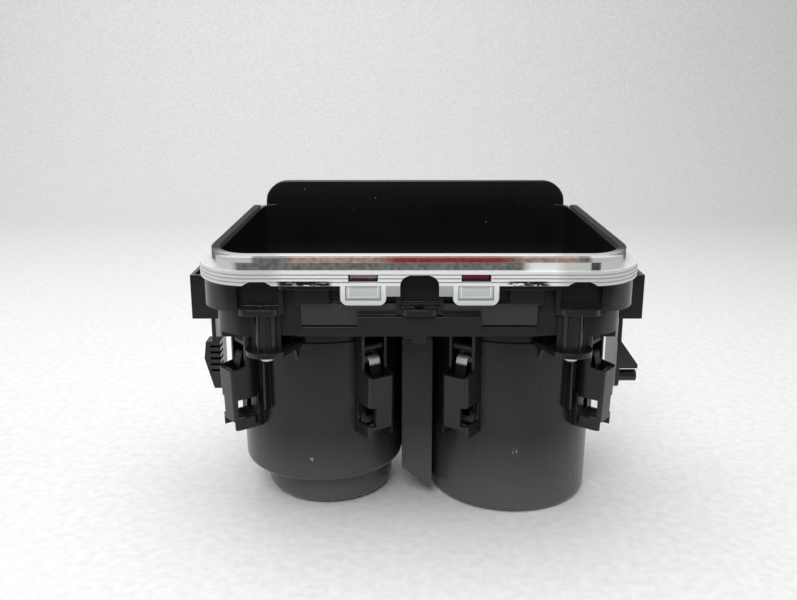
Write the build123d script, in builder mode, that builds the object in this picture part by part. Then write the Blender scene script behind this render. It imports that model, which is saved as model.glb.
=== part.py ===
"""Twin cup holder for a car's centre console.

A deep tray with a raised back wall stands on a moulding with two cups side by side. A clear light guide
wraps the tray's front rim. Each cup has three sprung fingers that swing out as a cup is pushed in.
The frame is in millimetres: X to the right, Y to the back, Z up, with the cup bottoms on Z = 0.
"""
import os
from math import atan2, cos, degrees, hypot, radians, sin, tan

from build123d import *

os.makedirs("parts", exist_ok=True)

# Cups
cup_spacing = 104.4
cup_base_diameter = 87.4
cup_draft = 0.9
cup_wall = 2.2
cup_floor = 2.5
cup_base_round = 4.0
foot_diameter = 70.0
foot_height = 18.0
foot_round = 7.0
foot_offset = 3.0
shoulder_height = 95.5
neck_inset = 0.9
flange_underside = 101.0
flange_thickness = 3.0
flange_margin = 5.0

# Tray well
well_front = 55.7
well_back = 58.0
well_front_width = 200.0
well_back_width = 180.0
well_front_round = 16.0
well_back_round = 8.0
well_floor_round = 4.0
tray_wall = 2.5
tray_floor = 3.0
rim_front_height = 144.3
rim_slope = 4.4
back_wall_top = 165.0
back_wall_round = 14.0
back_wall_edge = 1.0
mouth_round = 1.8

# Apron that carries the light guide, with its corner skirts
shelf_drop = 13.0
shelf_thickness = 2.5
shelf_reach = 5.5
shelf_end = 46.0
arm_taper_start = -40.0
arm_end_reach = 4.6
skirt_drop = 27.3
skirt_thickness = 2.3
skirt_side_end = -22.0

# Screw tabs, bosses and lugs on the front and back
tab_spacing = 154.0
tab_width = 20.0
centre_tab_width = 18.4
tab_drop = 25.3
tab_thickness = 3.0
tab_reach = 8.8
tab_round = 5.0
tab_hole_diameter = 4.8
tab_hole_depth = 9.0
tab_hole_setback = 3.3
cheek = 2.0
boss_spacing = 148.0
boss_diameter = 11.0
boss_bottom = 98.0
boss_rib_thickness = 2.0
boss_rib_reach = 7.0
boss_flute_angles = (-125.0, -90.0, -55.0)
boss_flute_thickness = 1.2
boss_flute_reach = 6.2
boss_standoff = 1.3
rear_boss_standoff = -1.0
rear_boss_spacing = 140.0
rear_boss_top = 128.0
ear_diameter = 21.0
ear_thickness = 2.5
lug_spacing = 102.0
lug_width = 16.0
lug_drop = 23.3
lug_reach = 5.4
front_bar_width = 60.0
front_bar_bottom = 107.0
front_bar_top = 115.0
front_bar_reach = 6.0
front_tooth_width = 6.2
front_tooth_drop = 5.0
front_panel_width = 114.0
front_panel_height = 11.4
front_panel_reach = 3.4
front_panel_lean = 2.0
front_sill_bottom = 105.0
front_sill_top = 108.8
front_sill_reach = 2.0
rear_rib_pitch = 35.0
rear_rib_thickness = 2.0
rear_rib_reach = 4.5
rear_rib_top = 150.0

# Side brackets with their hanging plates
bracket_width = 21.0
bracket_front = -15.0
bracket_back = 25.0
bracket_bottom = 100.0
bracket_drop = 20.3
bracket_wall = 2.0
bracket_gap = 0.6
plate_setback = 9.0
plate_thickness = 2.2
plate_front = -14.0
plate_back = 12.0
plate_bottom = 60.0
plate_round = 4.0
clip_reach = 4.6
clip_width = 10.0
clip_top = 87.0
clip_bottom = 60.5
clip_bulge = 77.5
clip_top_setback = 1.2
clip_skin = 3.4
clip_depth = 2.0
clip_lead = 1.0
clip_slots = 5
clip_slot_pitch = 3.4
clip_slot_height = 1.5
clip_slot_depth = 7.0
hook_reach = 9.4
hook_top = 87.0
hook_bottom = 71.8
hook_width = 10.0
peg_diameter = 6.4
peg_height = 66.4
peg_reach = 9.6

# Spine and ribs between and in front of the cups
spine_width = 16.4
spine_depth = 50.0
spine_wall = 2.2
spine_top = 92.0
spine_low_left = 18.0
spine_low_right = 6.0
gusset_angle = -102.0
gusset_thickness = 2.0
gusset_reach = 9.0
gusset_height = 16.0
wall_rib_angles = (-124.0, -131.0)
wall_rib_heights = ((58.0, 95.5), (48.0, 66.0))
wall_rib_thickness = 1.5
wall_rib_reach = 3.5

# Sprung fingers: stations are angles about the left cup's axis, and the right cup mirrors them
finger_stations = {"inner": -55.0, "outer": -142.0, "rear": 79.0}
finger_swing = 14.0
finger_stop_gap = 0.25
housing_width = 15.0
housing_wall = 1.6
housing_face_bottom = 51.0
housing_face_top = 79.4
housing_face_lean = 1.2
housing_face_round = 2.5
housing_prong = 4.5
housing_shoulder = 81.0
housing_window_low = 53.0
housing_window_high = 63.3
housing_notch = 3.6
hinge_radius = 49.0
hinge_height = 93.0
pin_diameter = 2.0
pin_seat_clearance = 0.02
pin_running_clearance = 0.05
hub_diameter = 5.6
hinge_ear = 0.6
finger_side_clearance = 0.4
slot_side_wall = 1.6
finger_plate_gap = 0.5
finger_plate = 1.7
finger_tail = 51.5
nose_top = 80.0
nose_high = 66.0
nose_low = 59.0
nose_reach = 7.5
nose_round = 2.5
finger_wall = 1.5
slot_margin = 3.5
spring_width = 6.4
spring_thickness = 0.5
spring_seat_gap = 0.1
spring_foot = 64.5
spring_top = 88.0
spring_bend = 2.2

# Light guide
guide_gap = 0.2
guide_top = 2.4
guide_upper_reach = 5.5
guide_lower_reach = 7.3
guide_wall = 2.2
guide_step = 6.0
guide_arm_reach = 1.3
guide_arm_start = 59.0
guide_arm_inset = 10.0
groove_drops = (7.4, 9.2, 11.0)
groove_height = 0.7
groove_depth = 0.6
window_spacing = 53.4
window_width = 14.0
window_top_drop = 7.6
window_bottom_drop = 11.6
latch_width = 22.0
latch_drop = 23.3
latch_border = 2.6
latch_recess = 0.7
latch_panel_gap = 1.2
latch_panel_rise = 0.5
latch_round = 4.0
centre_leg_width = 32.0
centre_leg_drop = 18.8
arch_round = 8.5
centre_arch_round = 5.0
arch_top_drop = 11.0
centre_arch_top_drop = 8.0

# Red light bar and light sources behind the windows
bar_length = 160.0
bar_depth = 2.6
bar_height = 3.0
bar_gap = 0.15
lens_width = 12.6
board_width = 11.0
board_height = 6.0
board_thickness = 1.0
diode_width = 3.5
diode_height = 2.8

# Screws that join the two mouldings
screw_shank_diameter = 3.4
screw_clearance = 0.06
screw_head_diameter = 8.0
screw_head_height = 3.8
screw_length = 14.0

# Levels and places that follow from the sizes above
flange_top = flange_underside + flange_thickness
floor_top = flange_top + tray_floor
front_face = -(well_front + tray_wall)
back_face = well_back + tray_wall
boss_radius = boss_diameter / 2
front_boss_y = front_face - boss_standoff
rear_boss_y = back_face + rear_boss_standoff
front_bosses = [(-boss_spacing / 2, front_boss_y), (boss_spacing / 2, front_boss_y)]
tab_hole_y = front_face - tab_hole_setback
rear_bosses = [(-rear_boss_spacing / 2, rear_boss_y), (rear_boss_spacing / 2, rear_boss_y)]
bosses = front_bosses + rear_bosses
ear_bottom = boss_bottom - ear_thickness
cup_axes = {"left": -cup_spacing / 2, "right": cup_spacing / 2}
skirt_bottom = rim_front_height - skirt_drop
tab_top = rim_front_height - tab_drop
lug_bottom = rim_front_height - lug_drop
bracket_top = rim_front_height - bracket_drop
latch_bottom = rim_front_height - latch_drop
centre_leg_bottom = rim_front_height - centre_leg_drop
sky = 2 * back_wall_top
wide = 2 * well_front_width


def cup_radius(height):
    """Outer radius of a cup's drafted wall at a height."""
    return cup_base_diameter / 2 + height * tan(radians(cup_draft))


def well_half_width(y):
    """Half of the well's inner width at a place along the depth."""
    taper = (well_front_width - well_back_width) / 2 / (well_front + well_back)
    return well_front_width / 2 - (y + well_front) * taper


def rim_height(y):
    """Height of the sloping rim at a place along the depth."""
    return rim_front_height + (y + well_front) * tan(radians(rim_slope))


def rim_plane(drop):
    """Plane parallel to the sloping rim, a given height below it."""
    tilt = radians(rim_slope)
    return Plane(
        origin=(0, -well_front, rim_front_height - drop),
        x_dir=(1, 0, 0),
        z_dir=(0, -sin(tilt), cos(tilt)),
    )


def upright_plane(x, angle):
    """Plane through a cup's axis: its X is the radius at an angle, its Y is the height."""
    turn = radians(angle)
    return Plane(origin=(x, 0, 0), x_dir=(cos(turn), sin(turn), 0), z_dir=(sin(turn), -cos(turn), 0))


def stations():
    """Name, cup axis and angle of every sprung finger, the right cup mirroring the left."""
    for side, x in cup_axes.items():
        for place, angle in finger_stations.items():
            yield f"{side}_{place}", x, angle if side == "left" else 180 - angle


# Places of the fingers in their housings, and of parts fitted beside the well
channel_in = cup_radius(shoulder_height)
plate_in = channel_in + finger_plate_gap
plate_back_face = plate_in + finger_plate
channel_out = plate_back_face + (hinge_height - finger_tail) * sin(radians(finger_swing)) + finger_stop_gap
housing_reach = channel_out + housing_wall
hinge_reach = hinge_radius + hub_diameter / 2 + hinge_ear
bracket_inner = well_half_width(bracket_front) + tray_wall + bracket_gap
bracket_reach = bracket_inner + bracket_width
plate_offset = bracket_inner + plate_setback
latch_thickness = guide_lower_reach - shelf_reach - guide_gap
rim_lip = guide_top + guide_gap

# Plan of the well: a trapezium with rounded corners, narrower at the back
with BuildSketch() as well_plan:
    with BuildLine():
        Polyline(
            (-well_front_width / 2, -well_front),
            (well_front_width / 2, -well_front),
            (well_back_width / 2, well_back),
            (-well_back_width / 2, well_back),
            close=True,
        )
    make_face()
    fillet(well_plan.vertices().group_by(Axis.Y)[0], well_front_round)
    fillet(well_plan.vertices().group_by(Axis.Y)[-1], well_back_round)

# Plan areas beside the side arms that taper towards the back
with BuildSketch() as arm_trim:
    arm_start = well_front_width / 2 + tray_wall + guide_lower_reach
    arm_end = well_half_width(shelf_end) + tray_wall + arm_end_reach
    for side in (-1, 1):
        with BuildLine():
            Polyline(
                (side * arm_start, arm_taper_start),
                (side * arm_end, shelf_end),
                (side * arm_end, 2 * well_back),
                (side * wide, 2 * well_back),
                (side * wide, arm_taper_start),
                close=True,
            )
        make_face()
    with Locations((0, shelf_end + well_back)):
        Rectangle(wide, 2 * well_back)

# Space below the shelf that the corner skirts leave open
with BuildPart() as skirt_relief:
    with BuildSketch(Plane.XY):
        add(well_plan.sketch)
        offset(amount=tray_wall + shelf_reach - skirt_thickness)
        with Locations((0, front_face - shelf_reach)):
            Rectangle(tab_spacing + tab_width, 4 * shelf_reach)
        with Locations((0, skirt_side_end + well_back)):
            Rectangle(wide, 2 * well_back)
    extrude(amount=sky)
    split(bisect_by=rim_plane(shelf_drop + shelf_thickness), keep=Keep.BOTTOM)

# Space inside the well
with BuildPart() as well_void:
    with BuildSketch(Plane.XY.offset(floor_top)):
        add(well_plan.sketch)
    extrude(amount=sky)
    fillet(well_void.edges().group_by(Axis.Z)[0], well_floor_round)

# Upper tray
with BuildPart() as upper_tray:
    # Shelf under the light guide with its corner skirts
    with BuildSketch(Plane.XY.offset(skirt_bottom)):
        add(well_plan.sketch)
        offset(amount=tray_wall + shelf_reach)
    extrude(amount=sky)
    split(bisect_by=rim_plane(shelf_drop), keep=Keep.BOTTOM)
    add(skirt_relief.part, mode=Mode.SUBTRACT)
    with BuildSketch(Plane.XY):
        add(arm_trim.sketch)
    extrude(amount=sky, mode=Mode.SUBTRACT)

    # Screw tabs in their recesses, and lugs
    shelf_low = rim_height(front_face - shelf_reach) - shelf_drop - shelf_thickness / 2
    tabs = [(-tab_spacing / 2, tab_width), (0, centre_tab_width), (tab_spacing / 2, tab_width)]
    for x, width in tabs:
        with BuildSketch(Plane.XY.offset(tab_top - tab_thickness)):
            with Locations((x, -well_front)):
                Rectangle(width + 2 * cheek, tray_wall + shelf_reach, align=(Align.CENTER, Align.MAX))
        extrude(amount=shelf_low - tab_top + tab_thickness)
        with BuildSketch(Plane.XY.offset(tab_top)):
            with Locations((x, front_face)):
                Rectangle(width, wide, align=(Align.CENTER, Align.MAX))
        extrude(amount=sky, mode=Mode.SUBTRACT)
        with BuildSketch(Plane.XY.offset(tab_top - tab_thickness)) as tab_plan:
            with Locations((x, -well_front)):
                Rectangle(width, tray_wall + tab_reach, align=(Align.CENTER, Align.MAX))
            fillet(tab_plan.vertices().group_by(Axis.Y)[0], tab_round)
        extrude(amount=tab_thickness)
    for x in (-lug_spacing / 2, lug_spacing / 2):
        with BuildSketch(Plane.XY.offset(lug_bottom)):
            with Locations((x, -well_front)):
                Rectangle(lug_width, tray_wall + lug_reach, align=(Align.CENTER, Align.MAX))
        extrude(amount=shelf_low - lug_bottom)

    # Panel, sill and bar across the front, and ribs on the back wall
    for low, high, reach, lean in (
        (lug_bottom - front_panel_height, lug_bottom, front_panel_reach, front_panel_lean),
        (front_sill_bottom, front_sill_top, front_sill_reach, 0),
    ):
        with BuildSketch(Plane.YZ):
            with BuildLine():
                Polyline(
                    (-well_front, low),
                    (front_face - reach + lean, low),
                    (front_face - reach, high),
                    (-well_front, high),
                    close=True,
                )
            make_face()
        extrude(amount=front_panel_width / 2, both=True)
    with BuildSketch(Plane.XY.offset(front_bar_bottom)):
        with Locations((0, -well_front)):
            Rectangle(front_bar_width, tray_wall + front_bar_reach, align=(Align.CENTER, Align.MAX))
    extrude(amount=front_bar_top - front_bar_bottom)
    with BuildSketch(Plane.XY.offset(front_bar_bottom)):
        with Locations((0, front_face)):
            Rectangle(front_tooth_width, front_bar_reach, align=(Align.CENTER, Align.MAX))
    extrude(amount=-front_tooth_drop)
    with BuildSketch(Plane.XY.offset(flange_top)):
        for x in (-rear_rib_pitch, 0, rear_rib_pitch):
            with Locations((x, well_back)):
                Rectangle(rear_rib_thickness, tray_wall + rear_rib_reach, align=(Align.CENTER, Align.MIN))
    extrude(amount=rear_rib_top - flange_top)

    # Ribbed bosses, front ones up to their tabs
    for places, top in ((front_bosses, tab_top - tab_thickness), (rear_bosses, rear_boss_top)):
        with BuildSketch(Plane.XY.offset(boss_bottom)):
            with Locations(*places):
                Circle(boss_radius)
                Rectangle(2 * boss_rib_reach, boss_rib_thickness)
                for flute_angle in boss_flute_angles:
                    with Locations(Location((0, 0, 0), (0, 0, flute_angle))):
                        Rectangle(boss_flute_reach, boss_flute_thickness, align=(Align.MIN, Align.CENTER))
        extrude(amount=top - boss_bottom)

    # Side brackets, open on top, with their hanging plates
    for side in (-1, 1):
        bracket_middle = (bracket_front + bracket_back) / 2
        bracket_depth = bracket_back - bracket_front
        outward = Align.MIN if side > 0 else Align.MAX
        for low, inner, wall, mode in (
            (flange_top, 0, 0, Mode.ADD),
            (bracket_bottom, bracket_inner, 0, Mode.ADD),
            (flange_top, 0, bracket_wall, Mode.SUBTRACT),
            (bracket_bottom, bracket_inner + bracket_wall, bracket_wall, Mode.SUBTRACT),
        ):
            with BuildSketch(Plane.XY.offset(low + wall)):
                with Locations((side * inner, bracket_middle)):
                    Rectangle(
                        bracket_reach - wall - inner, bracket_depth - 2 * wall, align=(outward, Align.CENTER)
                    )
            extrude(amount=bracket_top - low - wall, mode=mode)
        plate_plane = Plane(origin=(side * plate_offset, 0, 0), x_dir=(0, 1, 0), z_dir=(1, 0, 0))
        with BuildSketch(plate_plane) as plate_face:
            with Locations(((plate_front + plate_back) / 2, plate_bottom)):
                Rectangle(
                    plate_back - plate_front,
                    bracket_bottom + bracket_wall - plate_bottom,
                    align=(Align.CENTER, Align.MIN),
                )
            fillet(plate_face.vertices().group_by(Axis.Y)[0], plate_round)
        extrude(amount=side * plate_thickness)

    # Ribbed clip on the left plate
    plate_out = plate_offset + plate_thickness
    clip_y = plate_front + clip_width / 2 - clip_lead
    with BuildSketch(Plane.XZ.offset(-clip_y)):
        with BuildLine():
            Polyline(
                (clip_depth - plate_offset, clip_bottom),
                (-plate_out, clip_bottom),
                (-plate_out - clip_reach, clip_bulge),
                (-plate_out - clip_reach + clip_top_setback, clip_top),
                (clip_depth - plate_offset, clip_top),
                close=True,
            )
        make_face()
    extrude(amount=clip_width / 2, both=True)
    with BuildSketch(Plane.XZ.offset(clip_width / 2 - clip_y)):
        with Locations((-plate_out - clip_reach + clip_skin, clip_bulge)):
            with GridLocations(0, clip_slot_pitch, 1, clip_slots):
                Rectangle(2 * clip_reach, clip_slot_height, align=(Align.MIN, Align.CENTER))
    extrude(amount=-clip_slot_depth, mode=Mode.SUBTRACT)

    # Wedge hook and round peg on the right plate
    with BuildSketch(Plane.XZ.offset(-clip_y)):
        with BuildLine():
            Polyline(
                (plate_offset, hook_bottom),
                (plate_out + hook_reach, hook_bottom),
                (plate_out + hook_reach, hook_bottom + plate_thickness),
                (plate_out, hook_top),
                (plate_offset, hook_top),
                close=True,
            )
        make_face()
    extrude(amount=hook_width / 2, both=True)
    with BuildSketch(Plane(origin=(plate_offset, clip_y, peg_height), x_dir=(0, 1, 0), z_dir=(1, 0, 0))):
        Circle(peg_diameter / 2)
    extrude(amount=plate_thickness + peg_reach)

    # Walls of the well, cut to the sloping rim, with the raised back wall
    with BuildSketch(Plane.XY.offset(flange_top)):
        add(well_plan.sketch)
        offset(amount=tray_wall)
    extrude(amount=back_wall_top - flange_top)
    with BuildSketch(Plane.YZ):
        with BuildLine():
            Polyline(
                (-wide, rim_height(-wide) - rim_lip),
                (well_back, rim_height(well_back) - rim_lip),
                (well_back, sky),
                (-wide, sky),
                close=True,
            )
        make_face()
    extrude(amount=wide, both=True, mode=Mode.SUBTRACT)
    with BuildSketch(Plane.XZ.offset(-well_back)):
        with Locations((0, rim_height(well_back))):
            Rectangle(wide, sky, align=(Align.CENTER, Align.MIN))
        with Locations((0, back_wall_top)):
            RectangleRounded(
                well_back_width, 2 * well_back, back_wall_round, align=(Align.CENTER, Align.MAX), mode=Mode.SUBTRACT
            )
    extrude(amount=-wide, mode=Mode.SUBTRACT)
    add(well_void.part, mode=Mode.SUBTRACT)
    wall_face = upper_tray.faces().sort_by_distance((0, well_back, back_wall_top - well_floor_round))[0]
    high_edges = wall_face.edges().filter_by(lambda edge: edge.center().Z > rim_height(well_back))
    fillet(high_edges, back_wall_edge)

    # Mouths of the cups with a rounded lip, then screw holes
    mouth = cup_radius(shoulder_height) - cup_wall
    for x in cup_axes.values():
        with BuildSketch(upright_plane(x, 0)):
            with BuildLine():
                lip = CenterArc((mouth + mouth_round, floor_top - mouth_round), mouth_round, 90, 90)
                Polyline(lip @ 1, (mouth, flange_top), (0, flange_top), (0, floor_top), lip @ 0)
            make_face()
        revolve(axis=Axis((x, 0, 0), (0, 0, 1)), mode=Mode.SUBTRACT)
    with BuildSketch(Plane.XY.offset(tab_top)):
        with Locations((-tab_spacing / 2, tab_hole_y), (tab_spacing / 2, tab_hole_y)):
            Circle(tab_hole_diameter / 2)
    extrude(amount=-tab_hole_depth, mode=Mode.SUBTRACT)
    with BuildSketch(Plane.XY.offset(tab_top)):
        with Locations((0, tab_hole_y)):
            Circle(tab_hole_diameter / 2)
    extrude(amount=-tab_thickness, mode=Mode.SUBTRACT)
    with BuildSketch(Plane.XY.offset(boss_bottom)):
        with Locations(*bosses):
            Circle(screw_shank_diameter / 2 + screw_clearance)
    extrude(amount=screw_length - ear_thickness + screw_clearance, mode=Mode.SUBTRACT)

upper_tray.part.label = "upper_tray"
export_step(upper_tray.part, "parts/upper_tray.step")


def cup_section(side, inset, low):
    """Half section of a cup from its axis to its wall, drawn inset from the outer form for the inside."""
    base_height = low + (foot_height if side == "left" else 0)
    base = cup_radius(base_height - low) - inset
    shoulder = cup_radius(shoulder_height) - inset
    neck = cup_radius(shoulder_height) - max(inset, neck_inset)
    upper = [(shoulder, shoulder_height), (neck, shoulder_height), (neck, flange_top), (0, flange_top)]
    if inset:
        upper = [(neck, shoulder_height), (neck, flange_top), (0, flange_top)]
    with BuildSketch() as section:
        with BuildLine():
            Polyline((0, base_height), (base, base_height), *upper, close=True)
        make_face()
        fillet(section.vertices().sort_by_distance((base, base_height))[0], cup_base_round - inset / 2)
    return section.sketch


def foot_section(inset, low, high):
    """Half section of the left cup's foot about its own axis, drawn inset for the inside."""
    foot = foot_diameter / 2 - inset
    with BuildSketch() as section:
        with BuildLine():
            Polyline((0, low), (foot, low), (foot + high * tan(radians(cup_draft)), high), (0, high), close=True)
        make_face()
        fillet(section.vertices().sort_by_distance((foot, low))[0], foot_round - inset)
    return section.sketch


# Finger housing on the radius along X: a block with a rounded, leaning face and cheeks up to the flange
housing_bottom = housing_face_bottom - housing_prong
channel = housing_width - 2 * housing_wall
with BuildPart() as housing:
    with BuildSketch(upright_plane(0, 0)):
        with BuildLine():
            housing_root = cup_radius(housing_bottom) - cup_wall / 2
            Polyline(
                (housing_root, housing_bottom),
                (housing_reach, housing_bottom),
                (housing_reach + housing_face_lean, housing_face_top),
                (hinge_reach, housing_shoulder),
                (hinge_reach, flange_underside),
                (housing_root, flange_underside),
                close=True,
            )
        make_face()
    extrude(amount=housing_width / 2, both=True)
    face_edges = housing.faces().sort_by_distance((housing_reach, 0, housing_face_bottom))[0].edges()
    fillet(face_edges.filter_by(Axis.Y, reverse=True), housing_face_round)

# Cup housing: both cups, their flange, the spine between them and the finger housings
with BuildPart() as cup_housing:
    with BuildSketch(Plane.XY.offset(flange_underside)):
        add(well_plan.sketch)
        offset(amount=tray_wall)
        Rectangle(wide, 2 * (cup_radius(flange_top) + flange_margin), mode=Mode.INTERSECT)
    extrude(amount=flange_thickness)

    # Wings with the ears that the bosses stand on
    for boss_x, boss_y in bosses:
        cup_x = cup_axes["left" if boss_x < 0 else "right"]
        wing_length = hypot(cup_x - boss_x, boss_y) - cup_radius(ear_bottom) + cup_wall / 2
        with BuildSketch(Plane.XY.offset(ear_bottom)):
            with Locations((boss_x, boss_y)):
                Circle(ear_diameter / 2)
            with Locations(Location((boss_x, boss_y, 0), (0, 0, degrees(atan2(-boss_y, cup_x - boss_x))))):
                Rectangle(wing_length, ear_diameter, align=(Align.MIN, Align.CENTER))
        extrude(amount=ear_thickness)

    # Hollow spine, its lower edge slanting down to the right cup
    spine_low = min(spine_low_left, spine_low_right)
    for inset, mode in ((0, Mode.ADD), (spine_wall, Mode.SUBTRACT)):
        with BuildSketch(Plane.XY):
            Rectangle(spine_width - 2 * inset, spine_depth - 2 * inset)
        extrude(amount=spine_top, mode=mode)
    with BuildSketch(Plane.XZ):
        with BuildLine():
            Polyline(
                (-spine_width, -spine_low),
                (spine_width, -spine_low),
                (spine_width, 1.5 * spine_low_right - 0.5 * spine_low_left),
                (-spine_width, 1.5 * spine_low_left - 0.5 * spine_low_right),
                close=True,
            )
        make_face()
    extrude(amount=spine_depth, both=True, mode=Mode.SUBTRACT)

    foot_x = cup_axes["left"] + foot_offset
    with BuildSketch(upright_plane(foot_x, 0)):
        add(foot_section(0, 0, foot_height + cup_floor / 2))
    revolve(axis=Axis((foot_x, 0, 0), (0, 0, 1)))
    for side, x in cup_axes.items():
        with BuildSketch(upright_plane(x, 0)):
            add(cup_section(side, 0, 0))
        revolve(axis=Axis((x, 0, 0), (0, 0, 1)))
        turn = gusset_angle if side == "left" else 180 - gusset_angle
        with BuildSketch(upright_plane(x, turn)):
            with BuildLine():
                gusset_root = cup_radius(flange_underside - gusset_height) - cup_wall / 2
                Polyline(
                    (gusset_root, flange_underside),
                    (cup_radius(flange_underside) + gusset_reach, flange_underside),
                    (gusset_root, flange_underside - gusset_height),
                    close=True,
                )
            make_face()
        extrude(amount=gusset_thickness / 2, both=True)
        for rib_angle, (rib_low, rib_high) in zip(wall_rib_angles, wall_rib_heights):
            rib_root = cup_radius(rib_low) - cup_wall / 2
            with BuildSketch(upright_plane(x, rib_angle if side == "left" else 180 - rib_angle)):
                with Locations((rib_root, rib_low)):
                    Rectangle(
                        cup_radius(rib_high) + wall_rib_reach - rib_root,
                        rib_high - rib_low,
                        align=(Align.MIN, Align.MIN),
                    )
            extrude(amount=wall_rib_thickness / 2, both=True)

    # Finger housings: each becomes a channel on the wall, closed by a face in the middle
    for name, x, angle in stations():
        with Locations(Location((x, 0, 0), (0, 0, angle))):
            add(housing.part)

    # Inside of the cups
    for side, x in cup_axes.items():
        with BuildSketch(upright_plane(x, 0)):
            add(cup_section(side, cup_wall, cup_floor))
        revolve(axis=Axis((x, 0, 0), (0, 0, 1)), mode=Mode.SUBTRACT)
    with BuildSketch(upright_plane(foot_x, 0)):
        add(foot_section(cup_wall, cup_floor, foot_height + 2 * cup_floor))
    revolve(axis=Axis((foot_x, 0, 0), (0, 0, 1)), mode=Mode.SUBTRACT)

    for name, x, angle in stations():
        # Channel outside the wall, and its open ends
        with BuildSketch(upright_plane(x, angle)):
            with Locations((channel_in, housing_bottom)):
                Rectangle(
                    channel_out - channel_in,
                    flange_underside - housing_wall - housing_bottom,
                    align=(Align.MIN, Align.MIN),
                )
            with Locations((channel_in, housing_face_top)):
                Rectangle(
                    housing_reach,
                    flange_underside - housing_wall - housing_face_top,
                    align=(Align.MIN, Align.MIN),
                )
            with Locations((channel_in, housing_face_bottom)):
                Rectangle(housing_reach, housing_reach, align=(Align.MIN, Align.MAX))
        extrude(amount=channel / 2, both=True, mode=Mode.SUBTRACT)
        # Slot in the wall for the nose, windows in the cheeks, and seats for the hinge pin
        slot_low = finger_tail - slot_margin
        slot_high = nose_top + slot_margin
        with BuildSketch(upright_plane(x, angle)):
            with Locations((channel_in + cup_wall, slot_low)):
                Rectangle(3 * cup_wall, slot_high - slot_low, align=(Align.MAX, Align.MIN))
        extrude(amount=channel / 2 - slot_side_wall, both=True, mode=Mode.SUBTRACT)
        with BuildSketch(upright_plane(x, angle)):
            with Locations((channel_in + cup_wall, housing_window_low)):
                Rectangle(
                    channel_out - channel_in - cup_wall,
                    housing_window_high - housing_window_low,
                    align=(Align.MIN, Align.MIN),
                )
            with Locations((hinge_radius, hinge_height)):
                Circle(pin_diameter / 2 + pin_seat_clearance)
        extrude(amount=housing_width, both=True, mode=Mode.SUBTRACT)
        # Notch where the window runs out round one edge of the face
        notch_start = housing_width / 2 - housing_notch
        outward = 1 if x < 0 else -1
        with BuildSketch(upright_plane(x, angle).offset(outward * notch_start)):
            with Locations((channel_out, housing_window_low)):
                Rectangle(
                    housing_width,
                    housing_window_high - housing_window_low,
                    align=(Align.MIN, Align.MIN),
                )
        extrude(amount=outward * housing_width, mode=Mode.SUBTRACT)

    with BuildSketch(Plane.XY.offset(ear_bottom)):
        with Locations(*bosses):
            Circle(screw_shank_diameter / 2 + screw_clearance)
    extrude(amount=ear_thickness, mode=Mode.SUBTRACT)

cup_housing.part.label = "cup_housing"
export_step(cup_housing.part, "parts/cup_housing.step")

# Fingers with their pins and leaf springs
finger_width = channel - 2 * finger_side_clearance
nose_width = channel - 2 * slot_side_wall - 2 * finger_side_clearance
nose_tip = plate_in - nose_reach

for name, x, angle in stations():
    plane = upright_plane(x, angle)
    with BuildPart() as finger:
        with BuildSketch(plane):
            with Locations((plate_in, finger_tail)):
                Rectangle(finger_plate, hinge_height - finger_tail, align=(Align.MIN, Align.MIN))
            with Locations((hinge_radius, hinge_height)):
                Circle(hub_diameter / 2)
        extrude(amount=finger_width / 2, both=True)
        with BuildSketch(plane) as nose:
            with BuildLine():
                Polyline(
                    (plate_back_face, finger_tail),
                    (plate_in, finger_tail),
                    (nose_tip, nose_low),
                    (nose_tip, nose_high),
                    (plate_in, nose_top),
                    (plate_back_face, nose_top),
                    close=True,
                )
            make_face()
            fillet(nose.vertices().group_by(Axis.X)[0], nose_round)
        extrude(amount=nose_width / 2, both=True)
        with BuildSketch(plane):
            with BuildLine():
                Polyline(
                    (plate_back_face, finger_tail + 2 * finger_wall),
                    (plate_in, finger_tail + 2 * finger_wall),
                    (nose_tip + finger_wall, nose_low + finger_wall),
                    (nose_tip + finger_wall, nose_high - finger_wall),
                    (plate_in, nose_top - 3 * finger_wall),
                    (plate_back_face, nose_top - 3 * finger_wall),
                    close=True,
                )
            make_face()
        extrude(amount=nose_width / 2 - finger_wall, both=True, mode=Mode.SUBTRACT)
        with BuildSketch(plane):
            with Locations((hinge_radius, hinge_height)):
                Circle(pin_diameter / 2 + pin_running_clearance)
        extrude(amount=housing_width, both=True, mode=Mode.SUBTRACT)
    finger.part.label = f"{name}_finger"
    export_step(finger.part, f"parts/{name}_finger.step")

    with BuildPart() as pin:
        with BuildSketch(plane):
            with Locations((hinge_radius, hinge_height)):
                Circle(pin_diameter / 2)
        extrude(amount=housing_width / 2, both=True)
    pin.part.label = f"{name}_pin"
    export_step(pin.part, f"parts/{name}_pin.step")

    with BuildPart() as spring:
        inner_leg = plate_back_face + spring_seat_gap + spring_thickness / 2
        outer_end = channel_out - spring_seat_gap - spring_thickness / 2
        bend_height = spring_top - spring_bend
        with BuildSketch(plane):
            with BuildLine():
                Line((inner_leg, spring_foot), (inner_leg, bend_height))
                top = CenterArc((inner_leg + spring_bend, bend_height), spring_bend, 180, -180)
                Line(top @ 1, (outer_end, spring_foot))
            trace(line_width=spring_thickness)
        extrude(amount=spring_width / 2, both=True)
    spring.part.label = f"{name}_spring"
    export_step(spring.part, f"parts/{name}_spring.step")

# Clear light guide: a stepped channel over the shelf, open below, with arches, windows and latch tabs
guide_upper = tray_wall + guide_upper_reach
guide_lower = tray_wall + guide_lower_reach
with BuildPart() as guide_void:
    with BuildSketch(Plane.XY):
        add(well_plan.sketch)
        offset(amount=guide_upper - guide_wall)
    extrude(amount=sky)
    split(bisect_by=rim_plane(guide_top), keep=Keep.BOTTOM)

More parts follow.
